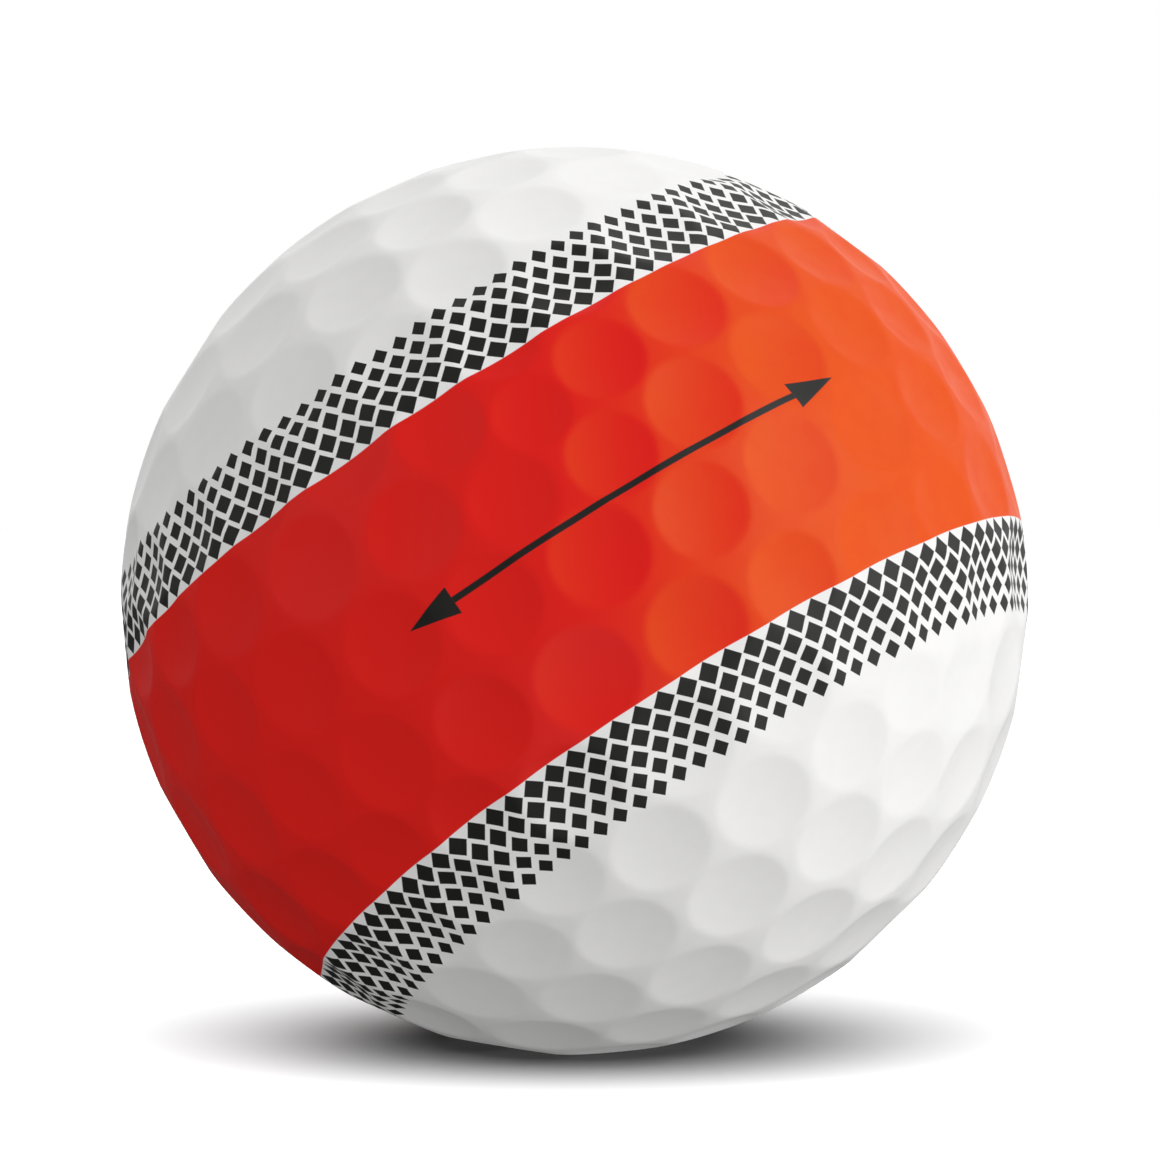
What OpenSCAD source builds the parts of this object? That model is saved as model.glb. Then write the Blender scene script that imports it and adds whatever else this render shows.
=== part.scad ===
// Golf ball of three layers: a rubber core, a thin mantle and a dimpled cover.
//
// The cover is cast in two half moulds, so it is made as two half shells that
// meet at the parting plane. The dimples follow the triangles of an
// icosahedron, with its poles on the axis of the parting plane.
// The origin is the middle of the ball, and the ball rests on z = -ball_d / 2.

/* [Ball] */
// Diameter over the lands between the dimples
ball_d = 42.67; // [42.67:0.01:43.2]
// Wall of the cover at the lands
cover_wall = 0.9; // [0.7:0.05:1.6]
// Wall of the mantle between cover and core
mantle_wall = 1.2; // [0.6:0.1:3]

/* [Dimples] */
// Dimples along each edge of the icosahedron, counted as steps
edge_steps = 5; // [4:1:5]
// Width of the land between neighbouring dimples
land_w = 0.45; // [0.3:0.05:0.8]
// Angle at the rim between the ball's surface and the dimple's surface
rim_angle = 14; // [11:0.5:16]
// Width of the plain strip left along the parting line
parting_land = 0.1; // [0.06:0.02:0.4]
// How far the rows beside the parting line are eased away from it, in degrees
parting_ease = 0.45; // [0.2:0.05:1]

/* [Attitude at rest] */
// Roll of the ball about X as it lies
rest_roll = 3; // [-180:1:180]
// Pitch of the ball about Y as it lies
rest_pitch = -24; // [-180:1:180]
// Turn of the ball about Z as it lies
rest_turn = -12; // [-180:1:180]

/* [Hidden] */

ball_r = ball_d / 2;
mantle_r = ball_r - cover_wall;
core_r = mantle_r - mantle_wall;

// How far a dimple's cutter stands out of the ball and past its rim
cut_over = 1;
rim_over = 0.01;

// Sides of the round shapes
ball_fn = 120;
dimple_fn = 48;

// The twelve corners of the icosahedron, with two of them on the poles.
ring_lat = atan(0.5);
function direction(lat, lon) = [cos(lat) * cos(lon), cos(lat) * sin(lon), sin(lat)];
upper_ring = [for (k = [0:4]) direction(ring_lat, 72 * k)];
lower_ring = [for (k = [0:4]) direction(-ring_lat, 72 * k + 36)];
corners = concat([[0, 0, 1]], upper_ring, lower_ring, [[0, 0, -1]]);

// Neighbouring corners are the ones 63.4 degrees apart.
function is_edge(i, j) = corners[i] * corners[j] > 0.4;
edges = [for (i = [0:10]) for (j = [i + 1:11]) if (is_edge(i, j)) [i, j]];
faces = [for (e = edges) for (k = [e[1] + 1:1:11]) if (is_edge(e[0], k) && is_edge(e[1], k))
    [e[0], e[1], k]];

// Dimple middles: one on each corner, the rest at even steps of the edges and faces.
function unit(v) = v / norm(v);
on_edges = [for (e = edges) for (s = [1:edge_steps - 1])
    unit(corners[e[0]] * s + corners[e[1]] * (edge_steps - s))];
on_faces = [for (f = faces) for (s = [1:edge_steps - 2]) for (t = [1:edge_steps - 1 - s])
    unit(corners[f[0]] * s + corners[f[1]] * t + corners[f[2]] * (edge_steps - s - t))];

// The rows beside the parting plane are eased away from it; the rest hardly move.
ease_reach = 12;
function eased_lat(lat) = lat + sign(lat) * parting_ease * exp(-pow(lat / ease_reach, 2));
function eased(v) = direction(eased_lat(asin(v[2])), atan2(v[1], v[0]));
middles = [for (v = concat(corners, on_edges, on_faces)) eased(v)];

// A dimple reaches halfway to its neighbours, less half a land, and stays off
// the parting line. Its reach is the angle from its middle to its rim.
function angle_between(a, b) = 2 * asin(norm(a - b) / 2);
next_reach = 87.5 / edge_steps;
function neighbour_angles(v) =
    [for (w = middles) let (d = norm(v - w)) if (d > 0.01 && d < 2 * sin(next_reach / 2))
        angle_between(v, w)];
function mean(list) = list * [for (x = list) 1] / len(list);
function degrees_of(width) = width / ball_r * 180 / PI;
function reach(v) = min(
    mean(neighbour_angles(v)) / 2 - degrees_of(land_w) / 2,
    abs(asin(v[2])) - degrees_of(parting_land) / 2
);

// One dimple's cutter, standing at the top of the ball: a ball-shaped floor
// below a straight wall that is a hair wider than the rim.
module dimple_cutter(rim_reach) {
    rim_r = ball_r * sin(rim_reach);
    floor_r = rim_r / sin(rim_angle - rim_reach);
    floor_z = ball_r * cos(rim_reach) + floor_r * cos(rim_angle - rim_reach);
    rotate_extrude($fn = dimple_fn)
        intersection() {
            translate([0, floor_z]) circle(r = floor_r, $fn = 2 * ball_fn);
            translate([0, ball_r - cut_over]) square([rim_r + rim_over, 2 * cut_over]);
        }
}

// Every dimple of one half: side is 1 above the parting plane and -1 below it.
module dimples(side) {
    for (v = middles)
        if (v[2] * side > 0)
            rotate([0, 90 - asin(v[2]), atan2(v[1], v[0])]) dimple_cutter(reach(v));
}

// The ball is drawn with its poles upright, then laid down as it rests.
module at_rest() {
    rotate([rest_roll, rest_pitch, rest_turn]) children();
}

// Half of the cover, with a flat face on the parting plane.
module cover_half(side) {
    difference() {
        rotate_extrude($fn = ball_fn)
            intersection() {
                difference() {
                    circle(r = ball_r, $fn = ball_fn);
                    circle(r = mantle_r, $fn = ball_fn);
                }
                translate([0, side > 0 ? 0 : -ball_r]) square([ball_r, ball_r]);
            }
        dimples(side);
    }
}

// Solid rubber core
module core() {
    color("steelblue") sphere(r = core_r, $fn = ball_fn);
}

// Stiff mantle moulded right round the core
module mantle() {
    color("gainsboro")
        difference() {
            sphere(r = mantle_r, $fn = ball_fn);
            sphere(r = core_r, $fn = ball_fn);
        }
}

// Half of the cover above the parting plane
module cover_upper_half() {
    color("white") at_rest() cover_half(1);
}

// Half of the cover below the parting plane
module cover_lower_half() {
    color("whitesmoke") at_rest() cover_half(-1);
}

core();
mantle();
cover_upper_half();
cover_lower_half();
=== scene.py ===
"""A golf ball: a printed, dimpled cover cast in two halves over a thin mantle and a rubber core."""

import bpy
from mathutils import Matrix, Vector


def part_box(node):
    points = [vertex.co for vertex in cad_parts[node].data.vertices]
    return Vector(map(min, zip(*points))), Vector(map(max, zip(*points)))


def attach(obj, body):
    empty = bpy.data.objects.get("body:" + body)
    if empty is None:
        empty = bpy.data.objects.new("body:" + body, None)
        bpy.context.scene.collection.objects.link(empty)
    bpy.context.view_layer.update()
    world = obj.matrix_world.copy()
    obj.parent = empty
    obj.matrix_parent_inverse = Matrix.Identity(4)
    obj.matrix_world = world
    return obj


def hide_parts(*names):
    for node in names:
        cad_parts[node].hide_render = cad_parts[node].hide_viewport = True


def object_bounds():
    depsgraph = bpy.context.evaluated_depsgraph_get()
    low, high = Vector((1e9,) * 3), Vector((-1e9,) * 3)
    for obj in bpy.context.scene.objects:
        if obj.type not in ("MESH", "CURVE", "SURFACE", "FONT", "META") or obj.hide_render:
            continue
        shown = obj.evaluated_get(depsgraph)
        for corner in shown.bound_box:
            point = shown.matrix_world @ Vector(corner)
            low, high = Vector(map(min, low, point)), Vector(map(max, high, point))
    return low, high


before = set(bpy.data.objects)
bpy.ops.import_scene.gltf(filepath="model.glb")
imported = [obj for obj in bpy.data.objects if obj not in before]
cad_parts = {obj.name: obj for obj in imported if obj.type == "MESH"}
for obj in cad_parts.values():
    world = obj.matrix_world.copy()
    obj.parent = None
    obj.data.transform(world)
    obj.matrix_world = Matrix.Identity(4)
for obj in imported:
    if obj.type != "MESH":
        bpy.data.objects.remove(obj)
CAD_BOX = [list(corner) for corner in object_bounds()]

import logging
import math
from dataclasses import dataclass, field
from enum import Enum
from typing import Optional, Union

import bpy
from mathutils import Euler, Matrix, Vector
from mathutils.kdtree import KDTree

LOG = logging.getLogger("golf_ball")
MM = 0.001
BODY = "root"
# Vertex attribute: how far each vertex faces the key light, used for painted light and shade on the
# print.
LIGHT_FACING = "painted_light_facing"

# Corners in each of the two rings between an icosahedron's poles.
RING_CORNERS = 5
# The sockets that a Mix node uses for colours.
MIX_FACTOR, MIX_FIRST, MIX_SECOND, MIX_RESULT = 0, 6, 7, 2

Colour = tuple[float, float, float]
Span = tuple[float, float]
Socket = bpy.types.NodeSocket
Feed = Union[float, Socket]


class Layer(Enum):
    """The ball's four pieces, by their nodes in the frame."""

    CORE = "core"
    MANTLE = "mantle"
    UPPER = "cover_upper_half"
    LOWER = "cover_lower_half"


class Slot(Enum):
    """The material slots that the record names."""

    CORE = "core_rubber"
    MANTLE = "mantle_ionomer"
    COVER = "cover_urethane"


class Face(Enum):
    """Which of a half's two materials a face wears."""

    PAINTED = 0
    BARE = 1


# ---------------------------------------------------------------- small helpers


def deselect_all() -> None:
    """Leave object mode with nothing selected."""
    if bpy.context.mode != "OBJECT":
        bpy.ops.object.mode_set(mode="OBJECT")
    bpy.ops.object.select_all(action="DESELECT")


def pick(obj: bpy.types.Object) -> None:
    """Select one object alone and make it the active one.

    Args:
        obj: the object that the next operators act on.
    """
    deselect_all()
    obj.select_set(True)
    bpy.context.view_layer.objects.active = obj


def node_radius(*nodes: Layer) -> float:
    """Outer radius of a ball or of a ball's halves.

    Args:
        nodes: the frame's nodes that make up the ball.

    Returns:
        Half of the longest side of the box round them all, in metres.
    """
    corners = [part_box(node.value) for node in nodes]
    low = [min(box[0][axis] for box in corners) for axis in range(3)]
    high = [max(box[1][axis] for box in corners) for axis in range(3)]
    return max(high[axis] - low[axis] for axis in range(3)) / 2


def between(span: Span, share: float) -> float:
    """Value a share of the way from a span's start to its end."""
    return span[0] + share * (span[1] - span[0])


# ---------------------------------------------------------------- dimples


@dataclass(frozen=True)
class Dimple:
    """One round dimple: where its middle points and how far round its rim reaches."""

    middle: Vector
    reach: float


@dataclass
class DimpleLayout:
    """The dimples of a ball, set on the twenty faces of an icosahedron.

    The sizes are those of the cover's source, with lengths in metres and angles in degrees.
    """

    ball_radius: float
    edge_steps: int = 5
    land_width: float = 0.45 * MM
    rim_angle: float = 14.0
    parting_land: float = 0.1 * MM
    parting_ease: float = 0.45
    ease_reach: float = 12.0
    neighbour_reach: float = 17.5
    neighbour_cosine: float = 0.4
    near_dimples: int = 3
    rim_softness: float = 0.035 * MM
    dimples: list[Dimple] = field(default_factory=list)

    def corners(self) -> list[Vector]:
        """Corner directions of an icosahedron that stands on one corner.

        Returns:
            Twelve unit vectors, from the upper pole to the lower.
        """
        apart, latitude = 360.0 / RING_CORNERS, math.atan(0.5)
        found = [Vector((0.0, 0.0, 1.0))]
        for sign, start in ((1, 0.0), (-1, apart / 2)):
            for step in range(RING_CORNERS):
                turn = math.radians(apart * step + start)
                flat, rise = math.cos(latitude), sign * math.sin(latitude)
                found.append(Vector((flat * math.cos(turn), flat * math.sin(turn), rise)))
        found.append(Vector((0.0, 0.0, -1.0)))
        return found

    def grid(self) -> list[Vector]:
        """Even grid of directions over the corners, edges and faces.

        Returns:
            One unit vector for each dimple, before the rows at the parting line are eased.
        """
        corners = self.corners()
        count, steps = len(corners), self.edge_steps
        near = [[a.dot(b) > self.neighbour_cosine for b in corners] for a in corners]
        edges = [(i, j) for i in range(count) for j in range(i + 1, count) if near[i][j]]
        thirds = [(i, j, k) for i, j in edges for k in range(j + 1, count)]
        faces = [(i, j, k) for i, j, k in thirds if near[i][k] and near[j][k]]
        points = list(corners)
        for i, j in edges:
            points += [corners[i] * s + corners[j] * (steps - s) for s in range(1, steps)]
        for i, j, k in faces:
            for s in range(1, steps - 1):
                for t in range(1, steps - s):
                    points.append(corners[i] * s + corners[j] * t + corners[k] * (steps - s - t))
        return [point.normalized() for point in points]

    def eased(self, point: Vector) -> Vector:
        """Move a direction a little away from the parting plane.

        Args:
            point: a unit vector of the even grid.

        Returns:
            The unit vector at the eased latitude.
        """
        lat = math.degrees(math.asin(max(-1.0, min(1.0, point.z))))
        push = self.parting_ease * math.exp(-((lat / self.ease_reach) ** 2))
        lat = math.radians(lat + math.copysign(push, lat))
        lon, flat = math.atan2(point.y, point.x), math.cos(lat)
        return Vector((flat * math.cos(lon), flat * math.sin(lon), math.sin(lat)))

    def degrees_of(self, width: float) -> float:
        """Angle that a width on the ball's surface takes, in degrees."""
        return math.degrees(width / self.ball_radius)

    def plan(self, attitude: Matrix) -> None:
        """Work out every dimple's direction and reach.

        Args:
            attitude: turns the layout to the way the ball lies.
        """
        middles = [self.eased(point) for point in self.grid()]
        half_land = self.degrees_of(self.land_width) / 2
        half_parting = self.degrees_of(self.parting_land) / 2
        for middle in middles:
            angles = [math.degrees(middle.angle(other)) for other in middles if other is not middle]
            beside = [angle for angle in angles if angle < self.neighbour_reach]
            by_neighbours = sum(beside) / len(beside) / 2 - half_land
            from_parting = abs(math.degrees(math.asin(middle.z))) - half_parting
            reach = math.radians(min(by_neighbours, from_parting))
            self.dimples.append(Dimple(attitude @ middle, reach))

    def raw_depth(self, angle: float, reach: float) -> float:
        """Depth of a dimple's ball-shaped floor below the ball's surface.

        Args:
            angle: angle from the dimple's middle, in radians.
            reach: angle from the middle to the rim, in radians.

        Returns:
            The depth in metres, below zero outside the rim.
        """
        ball, rim = self.ball_radius, math.radians(self.rim_angle)
        floor = ball * math.sin(reach) / math.sin(rim - reach)
        middle = ball * math.cos(reach) + floor * math.cos(rim - reach)
        across = middle * math.sin(angle)
        return ball - (middle * math.cos(angle) - math.sqrt(max(0.0, floor**2 - across**2)))

    def painted_depth(self, angle: float, reach: float) -> float:
        """Depth after the paint has rounded the rim over.

        Args:
            angle: angle from the dimple's middle, in radians.
            reach: angle from the middle to the rim, in radians.

        Returns:
            The depth in metres, never below zero.
        """
        depth, soft = self.raw_depth(angle, reach), self.rim_softness
        if depth > soft:
            return depth
        return max(0.0, depth + soft) ** 2 / (4 * soft)

    def deepest(self) -> float:
        """Depth of the deepest dimple at its middle, in metres."""
        return max(self.painted_depth(0.0, dimple.reach) for dimple in self.dimples)

    def depths_at(self, points: list[Vector]) -> list[float]:
        """Depth of the cover's surface under each point.

        Args:
            points: points on the ball's sphere, in metres.

        Returns:
            The depth under each point, in metres.
        """
        tree = KDTree(len(self.dimples))
        for index, dimple in enumerate(self.dimples):
            tree.insert(dimple.middle, index)
        tree.balance()
        depths = []
        for point in points:
            total = 0.0
            for _, index, chord in tree.find_n(point.normalized(), self.near_dimples):
                total += self.painted_depth(2 * math.asin(chord / 2), self.dimples[index].reach)
            depths.append(total)
        return depths


# ---------------------------------------------------------------- shader building


@dataclass(frozen=True)
class Noise:
    """Cloudy noise: how many clouds there are to a metre, and how many finer layers."""

    clouds: float
    layers: float


@dataclass(frozen=True)
class Relief:
    """Fine relief: how deep it is, in metres, and how much of it shows."""

    depth: float
    strength: float


@dataclass
class Nodes:
    """A node tree and short ways to add and join its nodes."""

    tree: bpy.types.NodeTree

    def node(self, kind: str, **settings: object) -> bpy.types.Node:
        """Add a node.

        Args:
            kind: the node's type, without its ShaderNode prefix.
            settings: the node's own properties.

        Returns:
            The new node.
        """
        made = self.tree.nodes.new("ShaderNode" + kind)
        for name, value in settings.items():
            setattr(made, name, value)
        return made

    def feed(self, socket: Socket, value: object) -> None:
        """Join an output to an input, or set the input's own value.

        Args:
            socket: the input.
            value: an output socket, or a plain value.
        """
        if isinstance(value, bpy.types.NodeSocket):
            self.tree.links.new(value, socket)
        else:
            socket.default_value = value

    def math(self, operation: str, *values: Feed) -> Socket:
        """One sum of a Math node.

        Args:
            operation: the node's operation.
            values: its inputs in order.

        Returns:
            The node's output.
        """
        made = self.node("Math", operation=operation)
        for socket, value in zip(made.inputs, values):
            self.feed(socket, value)
        return made.outputs[0]


@dataclass
class Shader(Nodes):
    """The nodes of one material."""

    material: bpy.types.Material

    @classmethod
    def named(cls, name: str) -> "Shader":
        """Start an empty node material.

        Args:
            name: the material's name.

        Returns:
            The shader, with no node in it yet.
        """
        material = bpy.data.materials.new(name)
        material.use_nodes = True
        material.node_tree.nodes.clear()
        return cls(material.node_tree, material)

    def ramp(self, value: Feed, low: float, high: float, start: float = 0.0, end: float = 1.0) -> Socket:
        """Smooth step from one value to another.

        Args:
            value: what is measured.
            low: where the step begins.
            high: where the step ends.
            start: the result below the step.
            end: the result above the step.

        Returns:
            The stepped value.
        """
        made = self.node("MapRange", interpolation_type="SMOOTHSTEP")
        for socket, part in zip(made.inputs, (value, low, high, start, end)):
            self.feed(socket, part)
        return made.outputs["Result"]

    def mix(self, factor: Feed, first: object, second: object) -> Socket:
        """Blend of two colours.

        Args:
            factor: 0 for the first colour, 1 for the second.
            first: a colour or an output socket.
            second: a colour or an output socket.

        Returns:
            The blended colour.
        """
        made = self.node("Mix", data_type="RGBA")
        for index, value in ((MIX_FACTOR, factor), (MIX_FIRST, first), (MIX_SECOND, second)):
            self.feed(made.inputs[index], (*value, 1.0) if isinstance(value, tuple) else value)
        return made.outputs[MIX_RESULT]

    def noise(self, coordinates: Socket, noise: Noise) -> Socket:
        """Cloudy noise, most of it between 0.2 and 0.8.

        Args:
            coordinates: where the noise is read.
            noise: the size of its clouds and its layers.

        Returns:
            The noise value.
        """
        made = self.node("TexNoise")
        self.feed(made.inputs["Vector"], coordinates)
        self.feed(made.inputs["Scale"], noise.clouds)
        self.feed(made.inputs["Detail"], noise.layers)
        return made.outputs["Fac"]

    def bump(self, height: Socket, relief: Relief, under: Optional[Socket] = None) -> Socket:
        """Fine relief from a height.

        Args:
            height: the relief's height, from 0 to 1.
            relief: its depth and strength.
            under: the normal of the relief below, if there is one.

        Returns:
            The bent normal.
        """
        made = self.node("Bump")
        self.feed(made.inputs["Height"], height)
        self.feed(made.inputs["Distance"], relief.depth)
        self.feed(made.inputs["Strength"], relief.strength)
        if under is not None:
            self.feed(made.inputs["Normal"], under)
        return made.outputs["Normal"]

    def object_coordinates(self) -> Socket:
        """Coordinates in metres from the ball's centre."""
        return self.node("TexCoord").outputs["Object"]

    def attribute(self, name: str) -> Socket:
        """A number that the mesh holds on every vertex."""
        return self.node("Attribute", attribute_type="GEOMETRY", attribute_name=name).outputs["Fac"]

    def surface(self, **inputs: object) -> bpy.types.Material:
        """Finish the material with a Principled shader.

        Args:
            inputs: the shader's inputs, with an underscore for each space.

        Returns:
            The finished material.
        """
        shader = self.node("BsdfPrincipled")
        output = self.node("OutputMaterial")
        for name, value in inputs.items():
            self.feed(shader.inputs[name.replace("_", " ")], value)
        self.feed(output.inputs["Surface"], shader.outputs[0])
        return self.material


# ---------------------------------------------------------------- finishes


@dataclass(frozen=True)
class PrintAttitude:
    """How the print lies on the ball, in degrees.

    The print's own axis is the pole of its band, and its own longitude 0 is the middle of the mark.
    """

    azimuth: float = 158.0
    tilt: float = 35.6
    turn: float = 124.5

    def matrix(self) -> Matrix:
        """Rotation from the print's own axes to the ball's."""
        turns = ((self.azimuth, "Z"), (self.tilt, "Y"), (self.turn, "Z"))
        made = Matrix.Identity(3)
        for angle, axis in turns:
            made = made @ Matrix.Rotation(math.radians(angle), 3, axis)
        return made


@dataclass(frozen=True)
class CoverFinish:
    """White lacquered urethane with a broad orange-red band, checked borders and a slim alignment arrow.

    Angles are in degrees of latitude and longitude about the band's own axis. A span such as
    mottle_on_ink is the part of a noise that shows, and one such as paint_roughness is the
    value at each end of it. The band and the black ink carry painted light and shade: each runs
    from a shaded copy of its colour to a lit copy as the surface, dimples included, turns
    towards the key light on the right.
    """

    attitude: PrintAttitude = PrintAttitude()
    paint: Colour = (0.936, 0.93, 0.923)
    # Shaded and lit copies of the band and of the black ink, for painted shade and painted light. The
    # shaded band red also colours the random ink patches.
    band_shade_and_patch: Colour = (0.80, 0.018, 0.014)
    band_painted_light: Colour = (0.84, 0.105, 0.018)
    ink_painted_shade: Colour = (0.018, 0.018, 0.017)
    ink_painted_light: Colour = (0.048, 0.048, 0.047)
    # How far the surface must face the key light for the painted light to begin and to be full.
    light_facing_span: Span = (-0.03, 0.69)
    band_half_width: float = 23.3
    edge_softness: float = 0.07
    check_rows: tuple[float, ...] = (24.9, 27.2, 29.5, 31.8, 34.1)
    check_pitch: float = 3.6
    check_half_length: Span = (1.71, 1.36)
    check_half_height: Span = (1.6, 1.26)
    check_edge: Span = (0.95, 1.05)
    bar_reach: float = 26.0
    head_reach: float = 33.0
    bar_half_width: float = 0.42
    head_half_width: float = 1.9
    mottle: Noise = Noise(900.0, 3.0)
    mottle_shade: float = 0.985
    mottle_on_white: Span = (0.3, 0.7)
    mottle_on_ink: Span = (0.35, 0.75)
    mottle_on_gloss: Span = (0.25, 0.75)
    ink_patchiness: float = 0.10
    paint_roughness: Span = (0.36, 0.44)
    paint_specular: float = 0.03
    peel: Noise = Noise(2600.0, 2.0)
    peel_relief: Relief = Relief(0.006 * MM, 0.25)
    ink_relief: Relief = Relief(0.008 * MM, 0.3)
    lacquer_roughness: float = 0.3
    lacquer_weight: float = 0.04
    lacquer_ior: float = 1.5

    def build(self) -> bpy.types.Material:
        """Make the cover's material.

        Returns:
            The finished material.
        """
        shader = Shader.named("cover_paint_and_print")
        place = shader.object_coordinates()
        latitude, longitude = self.print_angles(shader, place)
        across = shader.math("ABSOLUTE", latitude)
        along = shader.math("ABSOLUTE", longitude)
        half, soft = self.band_half_width, self.edge_softness
        band = shader.ramp(across, half - soft, half + soft, 1.0, 0.0)
        checks = self.checks(shader, across, longitude)
        arrow = self.arrow(shader, across, along)
        black = shader.math("MAXIMUM", checks, arrow)
        mottle = shader.noise(place, self.mottle)
        shaded = tuple(self.mottle_shade * part for part in self.paint)
        white = shader.mix(shader.ramp(mottle, *self.mottle_on_white), shaded, self.paint)
        # Painted light and shade: the band and the ink turn lighter where the surface, dimples included,
        # faces the key light.
        lit_facing = shader.ramp(shader.attribute(LIGHT_FACING), *self.light_facing_span)
        orange = shader.mix(lit_facing, self.band_shade_and_patch, self.band_painted_light)
        patches = shader.ramp(mottle, *self.mottle_on_ink, 0.0, self.ink_patchiness)
        orange = shader.mix(patches, orange, self.band_shade_and_patch)
        colour = shader.mix(band, white, orange)
        ink = shader.mix(lit_facing, self.ink_painted_shade, self.ink_painted_light)
        colour = shader.mix(black, colour, ink)
        peel = shader.bump(shader.noise(place, self.peel), self.peel_relief)
        film = shader.bump(shader.math("MAXIMUM", band, black), self.ink_relief, peel)
        return shader.surface(
            Base_Color=colour,
            Roughness=shader.ramp(mottle, *self.mottle_on_gloss, *self.paint_roughness),
            Normal=film,
            Specular_IOR_Level=self.paint_specular,
            Coat_Weight=self.lacquer_weight,
            Coat_Roughness=self.lacquer_roughness,
            Coat_IOR=self.lacquer_ior,
        )

    def print_angles(self, shader: Shader, place: Socket) -> tuple[Socket, Socket]:
        """Latitude and longitude about the band's axis.

        Args:
            shader: the material that is being built.
            place: coordinates from the ball's centre.

        Returns:
            The latitude and the longitude, in degrees.
        """
        unit = shader.node("VectorMath", operation="NORMALIZE")
        shader.feed(unit.inputs[0], place)
        turned = shader.node("Mapping", vector_type="POINT")
        shader.feed(turned.inputs["Vector"], unit.outputs[0])
        turned.inputs["Rotation"].default_value = self.attitude.matrix().inverted().to_euler("XYZ")
        parts = shader.node("SeparateXYZ")
        shader.feed(parts.inputs[0], turned.outputs[0])
        latitude = shader.math("DEGREES", shader.math("ARCSINE", parts.outputs["Z"]))
        turn = shader.math("ARCTAN2", parts.outputs["Y"], parts.outputs["X"])
        return latitude, shader.math("DEGREES", turn)

    def checks(self, shader: Shader, across: Socket, longitude: Socket) -> Socket:
        """Rows of small black diamonds that shrink away from the band.

        Args:
            shader: the material that is being built.
            across: distance from the band's middle line, in degrees.
            longitude: longitude about the band's axis, in degrees.

        Returns:
            1 on a diamond and 0 off it.
        """
        found: Feed = 0.0
        last, half_pitch = len(self.check_rows) - 1, self.check_pitch / 2
        for index, row in enumerate(self.check_rows):
            length = between(self.check_half_length, index / last)
            height = between(self.check_half_height, index / last)
            shifted = shader.math("ADD", longitude, half_pitch * (index % 2))
            beside = shader.math("PINGPONG", shifted, half_pitch)
            above = shader.math("ABSOLUTE", shader.math("SUBTRACT", across, row))
            along_share = shader.math("DIVIDE", beside, length)
            across_share = shader.math("DIVIDE", above, height)
            reach = shader.math("ADD", along_share, across_share)
            diamond = shader.ramp(reach, *self.check_edge, 1.0, 0.0)
            found = shader.math("MAXIMUM", found, diamond)
        return found

    def arrow(self, shader: Shader, across: Socket, along: Socket) -> Socket:
        """Slim line with a head at each end, along the middle of the band.

        Args:
            shader: the material that is being built.
            across: distance from the band's middle line, in degrees.
            along: distance from the mark's middle, in degrees.

        Returns:
            1 on the arrow and 0 off it.
        """
        soft = self.edge_softness
        bar = shader.ramp(across, self.bar_half_width - soft, self.bar_half_width + soft, 1.0, 0.0)
        ends = shader.ramp(along, self.bar_reach, self.bar_reach + soft, 1.0, 0.0)
        bar = shader.math("MULTIPLY", bar, ends)
        slope = self.head_half_width / (self.head_reach - self.bar_reach)
        side = shader.math("MULTIPLY", shader.math("SUBTRACT", self.head_reach, along), slope)
        head = shader.ramp(shader.math("SUBTRACT", side, across), -soft, soft)
        back = shader.ramp(along, self.bar_reach - soft, self.bar_reach + soft)
        head = shader.math("MULTIPLY", head, back)
        return shader.math("MAXIMUM", bar, head)


@dataclass(frozen=True)
class BareUrethaneFinish:
    """Unpainted cast urethane of the cover's inner wall and parting face, with faint pour marks."""

    resin: Colour = (0.86, 0.86, 0.83)
    pour_mark: Colour = (0.80, 0.80, 0.76)
    pour: Noise = Noise(180.0, 5.0)
    pour_span: Span = (0.35, 0.65)
    grain: Noise = Noise(3400.0, 3.0)
    grain_span: Span = (0.2, 0.8)
    grain_relief: Relief = Relief(0.01 * MM, 0.4)
    roughness: Span = (0.5, 0.62)
    specular: float = 0.4

    def build(self) -> bpy.types.Material:
        """Make the bare urethane's material.

        Returns:
            The finished material.
        """
        shader = Shader.named("cover_bare_urethane")
        place = shader.object_coordinates()
        marks = shader.ramp(shader.noise(place, self.pour), *self.pour_span)
        grain = shader.noise(place, self.grain)
        return shader.surface(
            Base_Color=shader.mix(marks, self.pour_mark, self.resin),
            Roughness=shader.ramp(grain, *self.grain_span, *self.roughness),
            Normal=shader.bump(grain, self.grain_relief),
            Specular_IOR_Level=self.specular,
        )


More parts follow.
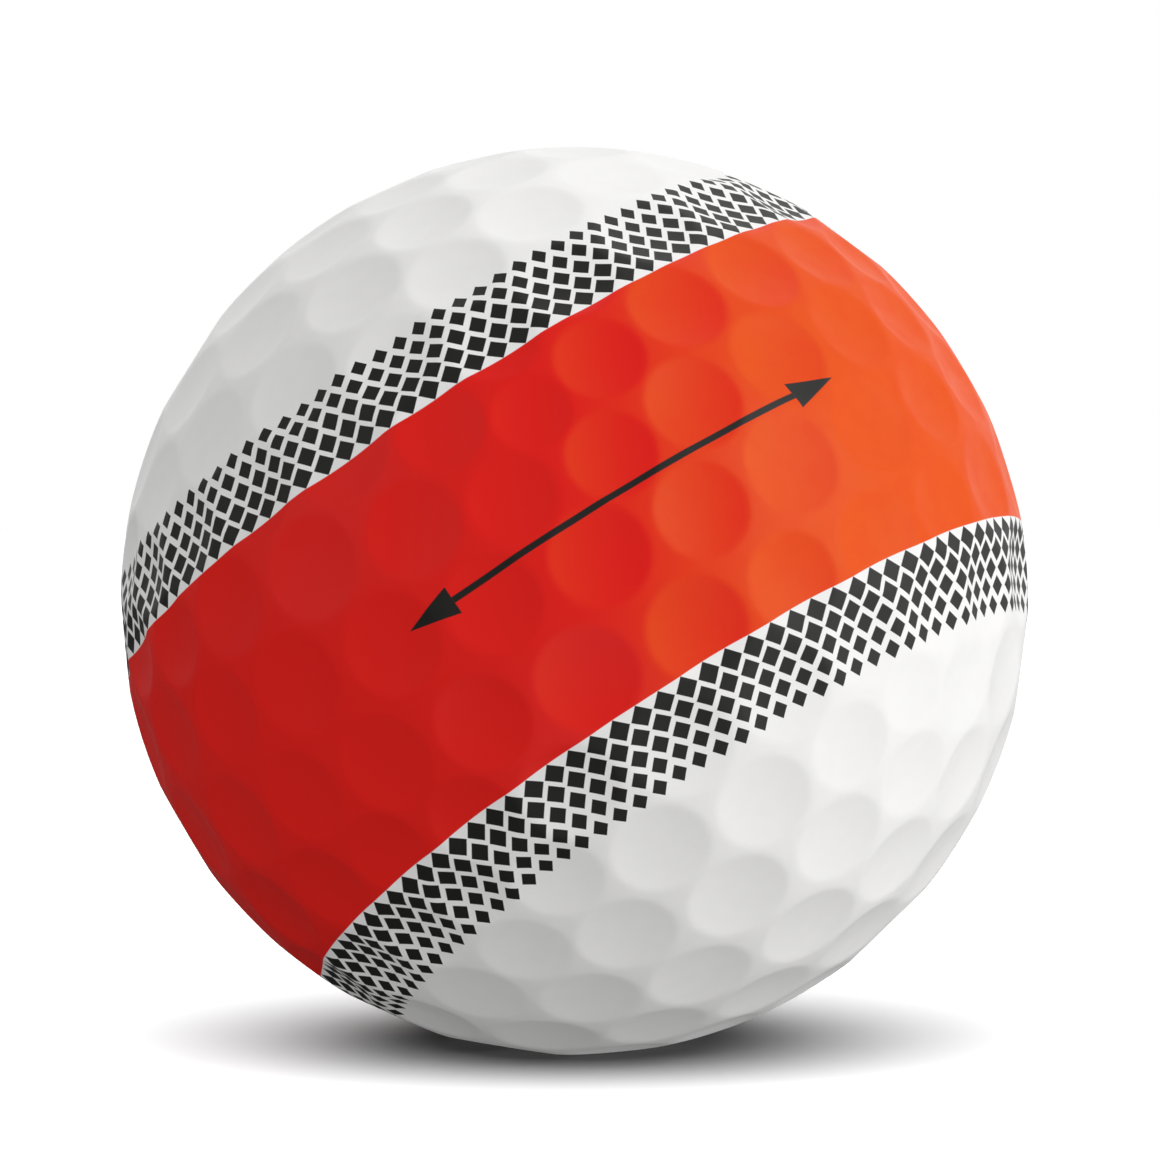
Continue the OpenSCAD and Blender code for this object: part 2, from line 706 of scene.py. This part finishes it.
@dataclass(frozen=True)
class RubberFinish:
    """Blue cured rubber of the core, ground to size, with pale filler specks."""

    rubber: Colour = (0.16, 0.34, 0.55)
    shade: Colour = (0.11, 0.26, 0.45)
    speck: Colour = (0.55, 0.66, 0.74)
    cloud: Noise = Noise(260.0, 5.0)
    cloud_span: Span = (0.3, 0.7)
    specks_to_metre: float = 1500.0
    speck_edge: Span = (0.10, 0.17)
    speck_cover: float = 0.7
    grain: Noise = Noise(4200.0, 4.0)
    grain_span: Span = (0.2, 0.8)
    grain_relief: Relief = Relief(0.03 * MM, 0.6)
    roughness: Span = (0.72, 0.86)
    specular: float = 0.35

    def build(self) -> bpy.types.Material:
        """Make the core's material.

        Returns:
            The finished material.
        """
        shader = Shader.named("core_ground_rubber")
        place = shader.object_coordinates()
        cloud = shader.ramp(shader.noise(place, self.cloud), *self.cloud_span)
        cells = shader.node("TexVoronoi", feature="F1")
        shader.feed(cells.inputs["Vector"], place)
        shader.feed(cells.inputs["Scale"], self.specks_to_metre)
        speck = shader.ramp(cells.outputs["Distance"], *self.speck_edge, 1.0, 0.0)
        colour = shader.mix(cloud, self.shade, self.rubber)
        colour = shader.mix(shader.math("MULTIPLY", speck, self.speck_cover), colour, self.speck)
        grain = shader.noise(place, self.grain)
        return shader.surface(
            Base_Color=colour,
            Roughness=shader.ramp(grain, *self.grain_span, *self.roughness),
            Normal=shader.bump(grain, self.grain_relief),
            Specular_IOR_Level=self.specular,
        )


@dataclass(frozen=True)
class IonomerFinish:
    """Clouded, slightly yellow ionomer of the mantle, with faint flow marks from its mould."""

    resin: Colour = (0.82, 0.82, 0.78)
    cloud: Colour = (0.74, 0.74, 0.69)
    flow: Noise = Noise(120.0, 6.0)
    flow_squeeze: tuple[float, float, float] = (1.0, 1.0, 3.5)
    flow_span: Span = (0.32, 0.68)
    grain: Noise = Noise(3000.0, 3.0)
    grain_span: Span = (0.2, 0.8)
    grain_relief: Relief = Relief(0.012 * MM, 0.4)
    roughness: Span = (0.42, 0.54)
    specular: float = 0.45

    def build(self) -> bpy.types.Material:
        """Make the mantle's material.

        Returns:
            The finished material.
        """
        shader = Shader.named("mantle_clouded_ionomer")
        place = shader.object_coordinates()
        squeezed = shader.node("Mapping", vector_type="POINT")
        shader.feed(squeezed.inputs["Vector"], place)
        squeezed.inputs["Scale"].default_value = self.flow_squeeze
        flow = shader.ramp(shader.noise(squeezed.outputs[0], self.flow), *self.flow_span)
        grain = shader.noise(place, self.grain)
        return shader.surface(
            Base_Color=shader.mix(flow, self.cloud, self.resin),
            Roughness=shader.ramp(grain, *self.grain_span, *self.roughness),
            Normal=shader.bump(grain, self.grain_relief),
            Specular_IOR_Level=self.specular,
        )


# ---------------------------------------------------------------- the ball


@dataclass
class InnerLayer:
    """A layer under the cover that keeps its shape from the frame and gets a finish."""

    node: Layer
    slot: Slot
    finish: Union[RubberFinish, IonomerFinish]

    def dress(self) -> bpy.types.Object:
        """Put the finish on the layer's own mesh.

        Returns:
            The dressed object.
        """
        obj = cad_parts[self.node.value]
        obj.data.materials.clear()
        obj.data.materials.append(self.finish.build())
        return obj


@dataclass
class Cover:
    """The dimpled cover: one painted skin, cut at the parting plane into its two cast halves.

    Lengths are in metres and angles in degrees.
    """

    rest_roll: float = 3.0
    rest_pitch: float = -24.0
    rest_turn: float = -12.0
    skin_fineness: int = 8
    wall_fineness: int = 6
    merge_distance: float = 1e-7
    smooth_angle: float = 40.0
    # Direction of the key light, for the painted light and shade on the print.
    key_light_from: tuple[float, float, float] = (1.0, 0.0, 0.1)
    paint_margin: float = 0.02 * MM
    parting_match: float = 0.999
    outer_radius: float = field(init=False)
    inner_radius: float = field(init=False)
    layout: DimpleLayout = field(init=False)

    def __post_init__(self) -> None:
        """Take the radii from the frame and plan the dimples."""
        self.outer_radius = node_radius(Layer.UPPER, Layer.LOWER)
        self.inner_radius = node_radius(Layer.MANTLE)
        self.layout = DimpleLayout(self.outer_radius)
        self.layout.plan(self.attitude())

    def attitude(self) -> Matrix:
        """Rotation of the dimple layout to the way the ball lies."""
        turns = (self.rest_roll, self.rest_pitch, self.rest_turn)
        return Euler([math.radians(turn) for turn in turns], "XYZ").to_matrix()

    def parting_normal(self) -> Vector:
        """Direction from the lower half to the upper, square to the parting plane."""
        return self.attitude() @ Vector((0.0, 0.0, 1.0))

    def skin(self) -> bpy.types.Object:
        """Model the whole outer skin with its dimples pressed in.

        Returns:
            The dimpled sphere, before it is cut.
        """
        deselect_all()
        bpy.ops.mesh.primitive_ico_sphere_add(subdivisions=self.skin_fineness, radius=self.outer_radius)
        obj = bpy.context.object
        obj.name = "cover_skin"
        deepest = self.layout.deepest()
        group = obj.vertex_groups.new(name="dimple_depth")
        depths = self.layout.depths_at([vertex.co for vertex in obj.data.vertices])
        for index, depth in enumerate(depths):
            if depth > 0.0:
                group.add([index], min(1.0, depth / deepest), "REPLACE")
        press = obj.modifiers.new("press_dimples", "DISPLACE")
        press.direction = "NORMAL"
        press.mid_level = 0.0
        press.strength = -deepest
        press.vertex_group = group.name
        bpy.ops.object.modifier_apply(modifier=press.name)
        obj.vertex_groups.clear()
        self.note_light_facing(obj)
        return obj

    def note_light_facing(self, skin: bpy.types.Object) -> None:
        """Note on every vertex how far its normal, dimples included, faces the key light, for the
        print's painted light and shade.

        Args:
            skin: the dimpled sphere.
        """
        towards = Vector(self.key_light_from)
        facing = skin.data.attributes.new(LIGHT_FACING, "FLOAT", "POINT")
        shares = [vertex.normal.dot(towards) for vertex in skin.data.vertices]
        facing.data.foreach_set("value", shares)

    def wall(self) -> bpy.types.Object:
        """Model the smooth inner wall that lies on the mantle, facing inwards.

        Returns:
            The inner sphere, turned inside out.
        """
        deselect_all()
        bpy.ops.mesh.primitive_ico_sphere_add(subdivisions=self.wall_fineness, radius=self.inner_radius)
        obj = bpy.context.object
        bpy.ops.object.mode_set(mode="EDIT")
        bpy.ops.mesh.select_all(action="SELECT")
        bpy.ops.mesh.flip_normals()
        bpy.ops.object.mode_set(mode="OBJECT")
        return obj

    def cut(self, whole: bpy.types.Object, kept: Layer) -> bpy.types.Object:
        """Keep one half of a copy of the whole cover and close its parting face.

        Args:
            whole: the skin and the inner wall in one mesh.
            kept: the half to keep.

        Returns:
            The half shell, with its own mesh.
        """
        half = whole.copy()
        half.data = whole.data.copy()
        bpy.context.scene.collection.objects.link(half)
        pick(half)
        bpy.ops.object.mode_set(mode="EDIT")
        bpy.ops.mesh.select_all(action="SELECT")
        bpy.ops.mesh.bisect(
            plane_co=(0.0, 0.0, 0.0),
            plane_no=self.parting_normal(),
            use_fill=True,
            clear_inner=kept is Layer.UPPER,
            clear_outer=kept is Layer.LOWER,
            threshold=self.merge_distance,
        )
        bpy.ops.object.mode_set(mode="OBJECT")
        bpy.ops.object.shade_smooth_by_angle(angle=math.radians(self.smooth_angle))
        return half

    def bare_faces(self, half: bpy.types.Object) -> None:
        """Give the inner wall and the parting face the half's second material.

        Args:
            half: the half shell, with the paint and the bare urethane as its materials.
        """
        parting = self.parting_normal()
        skin_floor = self.outer_radius - self.layout.deepest() - self.paint_margin
        for face in half.data.polygons:
            on_wall = face.center.length < skin_floor
            along = abs(face.normal.dot(parting)) > self.parting_match
            on_parting = along and abs(face.center.dot(parting)) < self.paint_margin
            wears = Face.BARE if on_wall or on_parting else Face.PAINTED
            face.material_index = wears.value

    def build(self, paint: CoverFinish, bare: BareUrethaneFinish) -> list[bpy.types.Object]:
        """Model and dress both halves.

        Args:
            paint: the paint and print on the outside of both halves.
            bare: the unpainted urethane inside them.

        Returns:
            The upper and the lower half.
        """
        whole, inner = self.skin(), self.wall()
        pick(whole)
        inner.select_set(True)
        bpy.ops.object.join()
        finishes = (paint.build(), bare.build())
        halves = []
        for node in (Layer.UPPER, Layer.LOWER):
            half = self.cut(whole, node)
            half.name = half.data.name = "painted_" + node.value
            half.data.materials.clear()
            for finish in finishes:
                half.data.materials.append(finish)
            self.bare_faces(half)
            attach(half, BODY)
            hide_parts(node.value)
            halves.append(half)
        bpy.data.objects.remove(whole)
        return halves


# ---------------------------------------------------------------- the studio


@dataclass(frozen=True)
class Softbox:
    """A round studio light that faces the ball.

    azimuth is 0 in front of the ball and 90 to its right. Both angles are in degrees.
    """

    name: str
    azimuth: float
    elevation: float
    watts: float
    distance: float = 0.6
    width: float = 0.5

    def place(self, lit: bpy.types.Collection) -> bpy.types.Object:
        """Add the light.

        Args:
            lit: what the light falls on.

        Returns:
            The light's object.
        """
        data = bpy.data.lights.new(self.name, "AREA")
        data.shape = "DISK"
        data.size = self.width
        data.energy = self.watts
        # A light below the floor reaches the ball only by the light's own samples.
        data.cycles.use_multiple_importance_sampling = False
        light = bpy.data.objects.new(self.name, data)
        bpy.context.scene.collection.objects.link(light)
        turn, rise = math.radians(self.azimuth), math.radians(self.elevation)
        flat = math.cos(rise)
        towards = Vector((math.sin(turn) * flat, -math.cos(turn) * flat, math.sin(rise)))
        light.location = towards * self.distance
        light.rotation_euler = towards.to_track_quat("Z", "Y").to_euler()
        light.visible_camera = False
        light.light_linking.receiver_collection = lit
        return light


@dataclass
class Studio:
    """A plain floor that shows white, soft lights, a white room and the camera.

    The floor's own light whitens it and leaves the shadow on it dark. To all but the camera it
    has the colour floor_bounce, so that it throws little light back onto the ball.
    """

    floor_half: float = 0.3
    floor_colour: Colour = (0.18, 0.18, 0.18)
    floor_bounce: Colour = (0.0145, 0.0145, 0.0145)
    floor_light: Softbox = Softbox("floor_light", 0.0, 64.0, 97.0, width=1.45)
    ball_lights: tuple[Softbox, ...] = (
        Softbox("key_light", 65.0, 25.0, 2.36),
        Softbox("left_fill", -70.0, 25.0, 0.93),
        Softbox("rear_top_light", 180.0, 60.0, 1.4),
        Softbox("low_front_fill", 10.0, -30.0, 1.34),
        Softbox("low_rear_fill", 110.0, -30.0, 0.76),
    )
    room_white: Colour = (1.0, 1.0, 1.0)
    room_fill: float = 0.30
    camera_distance: float = 0.576
    camera_elevation: float = 5.0
    camera_lens: float = 380.0
    camera_shift: Span = (0.0047, 0.018)
    camera_clip: Span = (0.01, 10.0)

    def floor(self) -> bpy.types.Object:
        """Lay the floor under the ball.

        Returns:
            The floor.
        """
        deselect_all()
        lowest = CAD_BOX[0][2]
        bpy.ops.mesh.primitive_plane_add(size=2 * self.floor_half, location=(0.0, 0.0, lowest))
        obj = bpy.context.object
        obj.name = "studio_floor"
        shader = Shader.named("studio_floor_paper")
        path = shader.node("LightPath")
        seen, bounced = shader.node("BsdfDiffuse"), shader.node("BsdfDiffuse")
        shader.feed(seen.inputs["Color"], (*self.floor_colour, 1.0))
        shader.feed(bounced.inputs["Color"], (*self.floor_bounce, 1.0))
        choice, output = shader.node("MixShader"), shader.node("OutputMaterial")
        parts = (path.outputs["Is Camera Ray"], bounced.outputs[0], seen.outputs[0])
        for socket, value in zip(choice.inputs, parts):
            shader.feed(socket, value)
        shader.feed(output.inputs["Surface"], choice.outputs[0])
        obj.data.materials.append(shader.material)
        # The low lights shine through the floor.
        obj.visible_shadow = False
        return obj

    def lights(self, floor: bpy.types.Object, ball: list[bpy.types.Object]) -> None:
        """Hang the lights and say what each falls on.

        Args:
            floor: the floor.
            ball: the ball's pieces.
        """
        on_floor = bpy.data.collections.new("lit_floor")
        on_floor.objects.link(floor)
        on_ball = bpy.data.collections.new("lit_ball")
        for piece in ball:
            on_ball.objects.link(piece)
        self.floor_light.place(on_floor)
        for light in self.ball_lights:
            light.place(on_ball)

    def room(self) -> None:
        """Make the room white to the eye and to gloss, and dim as a light."""
        world = bpy.data.worlds.new("studio_room")
        bpy.context.scene.world = world
        world.use_nodes = True
        world.node_tree.nodes.clear()
        nodes = Nodes(world.node_tree)
        path = nodes.node("LightPath")
        strength: Feed = self.room_fill
        for name in ("Is Camera Ray", "Is Glossy Ray", "Is Transmission Ray"):
            strength = nodes.math("MAXIMUM", strength, path.outputs[name])
        background, output = nodes.node("Background"), nodes.node("OutputWorld")
        nodes.feed(background.inputs["Color"], (*self.room_white, 1.0))
        nodes.feed(background.inputs["Strength"], strength)
        nodes.feed(output.inputs["Surface"], background.outputs[0])

    def camera(self) -> None:
        """Set the camera in front of the ball, slightly above it."""
        data = bpy.data.cameras.new("studio_camera")
        data.lens = self.camera_lens
        data.shift_x, data.shift_y = self.camera_shift
        data.clip_start, data.clip_end = self.camera_clip
        obj = bpy.data.objects.new("studio_camera", data)
        bpy.context.scene.collection.objects.link(obj)
        rise = math.radians(self.camera_elevation)
        back = Vector((0.0, -math.cos(rise), math.sin(rise)))
        obj.location = back * self.camera_distance
        obj.rotation_euler = back.to_track_quat("Z", "Y").to_euler()
        bpy.context.scene.camera = obj

    def build(self, ball: list[bpy.types.Object]) -> None:
        """Set up the whole studio round the ball.

        Args:
            ball: the ball's pieces.
        """
        floor = self.floor()
        self.lights(floor, ball)
        self.room()
        self.camera()
        bpy.context.scene.view_settings.view_transform = "Standard"


def main() -> None:
    """Build the ball from the inside out, then the studio, and report each piece."""
    logging.basicConfig(level=logging.INFO, format="%(name)s: %(message)s")
    pieces = [
        InnerLayer(Layer.CORE, Slot.CORE, RubberFinish()).dress(),
        InnerLayer(Layer.MANTLE, Slot.MANTLE, IonomerFinish()).dress(),
    ]
    cover = Cover()
    pieces += cover.build(CoverFinish(), BareUrethaneFinish())
    for piece in pieces:
        LOG.info("%s: %d faces", piece.name, len(piece.data.polygons))
    LOG.info("dimples: %d", len(cover.layout.dimples))
    Studio().build(pieces)


if __name__ == "__main__":
    main()
